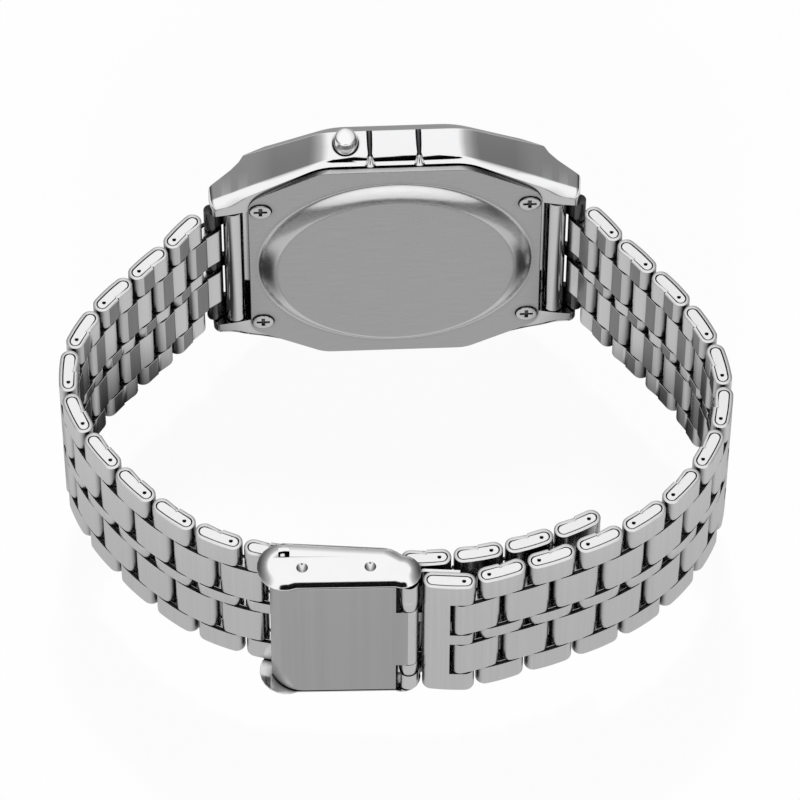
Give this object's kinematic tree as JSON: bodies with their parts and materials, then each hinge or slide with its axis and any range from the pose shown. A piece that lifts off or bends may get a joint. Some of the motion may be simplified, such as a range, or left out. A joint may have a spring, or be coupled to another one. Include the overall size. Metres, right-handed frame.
{
  "type": "digital wrist watch",
  "caption": "Digital wrist watch lying on its side, octagonal case, screwed round-bossed back, side push buttons and a folded-link steel bracelet with a sliding clasp.",
  "frame": {"origin": "middle of the round boss of the back cover, on its outer face", "axes": "+X towards 12 o'clock, +Y the way the dial faces, +Z towards 3 o'clock, which is up while the watch lies on its 9 o'clock side"},
  "size_m": [0.0624, 0.0492, 0.0344],
  "materials": {
    "case_chrome": "polished, mirror-like",
    "back_steel": "brushed across the back",
    "screw_steel": "turned",
    "crystal_glass": "clear, flat",
    "dial_black": "printed black",
    "lcd_glass": "grey-green reflective panel",
    "guide_clear": "clear moulded",
    "contact_rubber": "silicone with conducting layers",
    "module_black": "moulded",
    "board_green": "solder resist",
    "cell_steel": "nickel plated",
    "alarm_brass": "plain",
    "seal_rubber": "moulded",
    "bar_steel": "drawn",
    "clasp_polished": "polished",
    "cover_brushed": "brushed lengthwise",
    "link_steel": "brushed faces with bright folded ends",
    "button_steel": "polished"
  },
  "bodies": {
    "case": {"case_body": "case_chrome", "back_cover": "back_steel", "back_screws": "screw_steel", "crystal": "crystal_glass", "dial_mask": "dial_black", "lcd_panel": "lcd_glass", "light_guide": "guide_clear", "contact_strips": "contact_rubber", "module_frame": "module_black", "circuit_board": "board_green", "battery_holder": "module_black", "battery": "cell_steel", "battery_clip": "cell_steel", "alarm_disc": "alarm_brass", "alarm_spring": "cell_steel", "back_gasket": "seal_rubber", "button_springs": "cell_steel", "button_seals": "seal_rubber", "spring_bars": "bar_steel"},
    "end_12": {"end_link_12": "link_steel"},
    "right_01": {"link_R01": "link_steel"},
    "right_02": {"link_R02": "link_steel"},
    "right_03": {"link_R03": "link_steel"},
    "right_04": {"link_R04": "link_steel"},
    "right_05": {"link_R05": "link_steel"},
    "right_06": {"link_R06": "link_steel"},
    "right_07": {"link_R07": "link_steel"},
    "right_08": {"link_R08": "link_steel"},
    "right_09": {"link_R09": "link_steel"},
    "right_10": {"link_R10": "link_steel"},
    "right_11": {"link_R11": "link_steel"},
    "right_12": {"link_R12": "link_steel"},
    "clasp_end": {"link_R13": "link_steel", "clasp_end_link": "link_steel", "clasp_hook": "clasp_polished"},
    "end_6": {"end_link_6": "link_steel"},
    "left_01": {"link_L01": "link_steel"},
    "left_02": {"link_L02": "link_steel"},
    "left_03": {"link_L03": "link_steel"},
    "left_04": {"link_L04": "link_steel"},
    "left_05": {"link_L05": "link_steel"},
    "left_06": {"link_L06": "link_steel"},
    "left_07": {"link_L07": "link_steel"},
    "left_08": {"link_L08": "link_steel"},
    "left_09": {"link_L09": "link_steel"},
    "left_10": {"link_L10": "link_steel"},
    "clasp": {"link_L11": "link_steel", "link_L12": "link_steel", "link_L13": "link_steel", "clasp_body": "clasp_polished", "clasp_pin": "bar_steel", "lock_pins": "bar_steel"},
    "cover": {"clasp_cover": "cover_brushed"},
    "tail_14": {"link_L14": "link_steel"},
    "tail_15": {"link_L15": "link_steel"},
    "tail_16": {"link_L16": "link_steel"},
    "tail_17": {"link_L17": "link_steel"},
    "push_adjust": {"button_adjust": "button_steel"},
    "push_light": {"button_light": "button_steel"},
    "push_mode": {"button_mode": "button_steel"}
  },
  "joints": [
    {"name": "bracelet_open", "type": "hinge", "parent": "case", "child": "end_12", "pos_m": [0.0153, 0.0017, 0], "axis": [0, 0, 1], "range_deg": [0, 20]},
    {"name": "open_R01", "type": "hinge", "parent": "end_12", "child": "right_01", "pos_m": [0.01744, 0.00148, 0], "axis": [0, 0, 1], "range_deg": [0, 45]},
    {"name": "open_R02", "type": "hinge", "parent": "right_01", "child": "right_02", "pos_m": [0.02023, -0.00243, 0], "axis": [0, 0, 1], "range_deg": [0, 4]},
    {"name": "open_R03", "type": "hinge", "parent": "right_02", "child": "right_03", "pos_m": [0.0232, -0.0062, 0], "axis": [0, 0, 1], "range_deg": [0, 4]},
    {"name": "open_R04", "type": "hinge", "parent": "right_03", "child": "right_04", "pos_m": [0.02609, -0.01003, 0], "axis": [0, 0, 1], "range_deg": [0, 11]},
    {"name": "open_R05", "type": "hinge", "parent": "right_04", "child": "right_05", "pos_m": [0.02841, -0.01423, 0], "axis": [0, 0, 1], "range_deg": [0, 18]},
    {"name": "open_R06", "type": "hinge", "parent": "right_05", "child": "right_06", "pos_m": [0.02955, -0.01888, 0], "axis": [0, 0, 1], "range_deg": [0, 21]},
    {"name": "open_R07", "type": "hinge", "parent": "right_06", "child": "right_07", "pos_m": [0.02911, -0.02364, 0], "axis": [0, 0, 1], "range_deg": [0, 19]},
    {"name": "open_R08", "type": "hinge", "parent": "right_07", "child": "right_08", "pos_m": [0.02719, -0.02802, 0], "axis": [0, 0, 1], "range_deg": [0, 15]},
    {"name": "open_R09", "type": "hinge", "parent": "right_08", "child": "right_09", "pos_m": [0.0242, -0.03177, 0], "axis": [0, 0, 1], "range_deg": [0, 15]},
    {"name": "open_R10", "type": "hinge", "parent": "right_09", "child": "right_10", "pos_m": [0.0204, -0.03469, 0], "axis": [0, 0, 1], "range_deg": [0, 12]},
    {"name": "open_R11", "type": "hinge", "parent": "right_10", "child": "right_11", "pos_m": [0.0161, -0.03679, 0], "axis": [0, 0, 1], "range_deg": [0, 7]},
    {"name": "open_R12", "type": "hinge", "parent": "right_11", "child": "right_12", "pos_m": [0.01156, -0.03835, 0], "axis": [0, 0, 1], "range_deg": [0, 3]},
    {"name": "open_R13", "type": "hinge", "parent": "right_12", "child": "clasp_end", "pos_m": [0.00694, -0.03967, 0], "axis": [0, 0, 1], "range_deg": [0, 7]},
    {"name": "fold_6", "type": "hinge", "parent": "case", "child": "end_6", "pos_m": [-0.0153, 0.0017, 0], "axis": [0, 0, 1], "range_deg": [0, 4]},
    {"name": "fold_L01", "type": "hinge", "parent": "end_6", "child": "left_01", "pos_m": [-0.01745, 0.00162, 0], "axis": [0, 0, 1], "range_deg": [0, 3]},
    {"name": "fold_L02", "type": "hinge", "parent": "left_01", "child": "left_02", "pos_m": [-0.02088, -0.00172, 0], "axis": [0, 0, 1], "range_deg": [0, 3]},
    {"name": "fold_L03", "type": "hinge", "parent": "left_02", "child": "left_03", "pos_m": [-0.02424, -0.00514, 0], "axis": [0, 0, 1], "range_deg": [0, 3]},
    {"name": "fold_L04", "type": "hinge", "parent": "left_03", "child": "left_04", "pos_m": [-0.02758, -0.00859, 0], "axis": [0, 0, 1], "range_deg": [0, 3]},
    {"name": "fold_L05", "type": "hinge", "parent": "left_04", "child": "left_05", "pos_m": [-0.03018, -0.01261, 0], "axis": [0, 0, 1], "range_deg": [0, 3]},
    {"name": "fold_L06", "type": "hinge", "parent": "left_05", "child": "left_06", "pos_m": [-0.03101, -0.01731, 0], "axis": [0, 0, 1], "range_deg": [0, 3]},
    {"name": "fold_L07", "type": "hinge", "parent": "left_06", "child": "left_07", "pos_m": [-0.02976, -0.02191, 0], "axis": [0, 0, 1], "range_deg": [0, 3]},
    {"name": "fold_L08", "type": "hinge", "parent": "left_07", "child": "left_08", "pos_m": [-0.02727, -0.02601, 0], "axis": [0, 0, 1], "range_deg": [0, 3]},
    {"name": "fold_L09", "type": "hinge", "parent": "left_08", "child": "left_09", "pos_m": [-0.0242, -0.02969, 0], "axis": [0, 0, 1], "range_deg": [0, 3]},
    {"name": "fold_L10", "type": "hinge", "parent": "left_09", "child": "left_10", "pos_m": [-0.02063, -0.03289, 0], "axis": [0, 0, 1], "range_deg": [0, 3]},
    {"name": "fold_clasp", "type": "hinge", "parent": "left_10", "child": "clasp", "pos_m": [-0.01644, -0.03521, 0], "axis": [0, 0, 1], "range_deg": [0, 3]},
    {"name": "clasp_cover_lift", "type": "hinge", "parent": "clasp", "child": "cover", "pos_m": [-0.00036, -0.04004, 0], "axis": [0, 0, 1], "range_deg": [0, 90]},
    {"name": "tail_curl", "type": "hinge", "parent": "clasp", "child": "tail_14", "pos_m": [-0.0023, -0.03762, 0], "axis": [0, 0, 1], "range_deg": [0, 12]},
    {"name": "tail_L15", "type": "hinge", "parent": "tail_14", "child": "tail_15", "pos_m": [0.00249, -0.03766, 0], "axis": [0, 0, 1], "range_deg": [0, 13]},
    {"name": "tail_L16", "type": "hinge", "parent": "tail_15", "child": "tail_16", "pos_m": [0.00726, -0.03712, 0], "axis": [0, 0, 1], "range_deg": [0, 13]},
    {"name": "tail_L17", "type": "hinge", "parent": "tail_16", "child": "tail_17", "pos_m": [0.0119, -0.03591, 0], "axis": [0, 0, 1], "range_deg": [0, 13]},
    {"name": "press_adjust", "type": "slide", "parent": "case", "child": "push_adjust", "axis": [0, 0, -1], "range_m": [0, 0.0005], "stiffness_N_per_m": 4000},
    {"name": "press_light", "type": "slide", "parent": "case", "child": "push_light", "axis": [0, 0, 1], "range_m": [0, 0.0005], "stiffness_N_per_m": 4000},
    {"name": "press_mode", "type": "slide", "parent": "case", "child": "push_mode", "axis": [0, 0, 1], "range_m": [0, 0.0005], "stiffness_N_per_m": 4000}
  ],
  "couplings": [
    {"joint": "open_R01", "follows": "bracelet_open", "ratio": 2.2},
    {"joint": "open_R02", "follows": "bracelet_open", "ratio": 0.15},
    {"joint": "open_R03", "follows": "bracelet_open", "ratio": 0.15},
    {"joint": "open_R04", "follows": "bracelet_open", "ratio": 0.5},
    {"joint": "open_R05", "follows": "bracelet_open", "ratio": 0.85},
    {"joint": "open_R06", "follows": "bracelet_open", "ratio": 1},
    {"joint": "open_R07", "follows": "bracelet_open", "ratio": 0.9},
    {"joint": "open_R08", "follows": "bracelet_open", "ratio": 0.7},
    {"joint": "open_R09", "follows": "bracelet_open", "ratio": 0.7},
    {"joint": "open_R10", "follows": "bracelet_open", "ratio": 0.55},
    {"joint": "open_R11", "follows": "bracelet_open", "ratio": 0.3},
    {"joint": "open_R12", "follows": "bracelet_open", "ratio": 0.1},
    {"joint": "open_R13", "follows": "bracelet_open", "ratio": 0.3},
    {"joint": "fold_6", "follows": "bracelet_open", "ratio": 0.15},
    {"joint": "fold_L01", "follows": "bracelet_open", "ratio": 0.1},
    {"joint": "fold_L02", "follows": "bracelet_open", "ratio": 0.1},
    {"joint": "fold_L03", "follows": "bracelet_open", "ratio": 0.1},
    {"joint": "fold_L04", "follows": "bracelet_open", "ratio": 0.1},
    {"joint": "fold_L05", "follows": "bracelet_open", "ratio": 0.1},
    {"joint": "fold_L06", "follows": "bracelet_open", "ratio": 0.1},
    {"joint": "fold_L07", "follows": "bracelet_open", "ratio": 0.1},
    {"joint": "fold_L08", "follows": "bracelet_open", "ratio": 0.1},
    {"joint": "fold_L09", "follows": "bracelet_open", "ratio": 0.1},
    {"joint": "fold_L10", "follows": "bracelet_open", "ratio": 0.1},
    {"joint": "fold_clasp", "follows": "bracelet_open", "ratio": 0.1},
    {"joint": "tail_L15", "follows": "tail_curl", "ratio": 1},
    {"joint": "tail_L16", "follows": "tail_curl", "ratio": 1},
    {"joint": "tail_L17", "follows": "tail_curl", "ratio": 1}
  ]
}
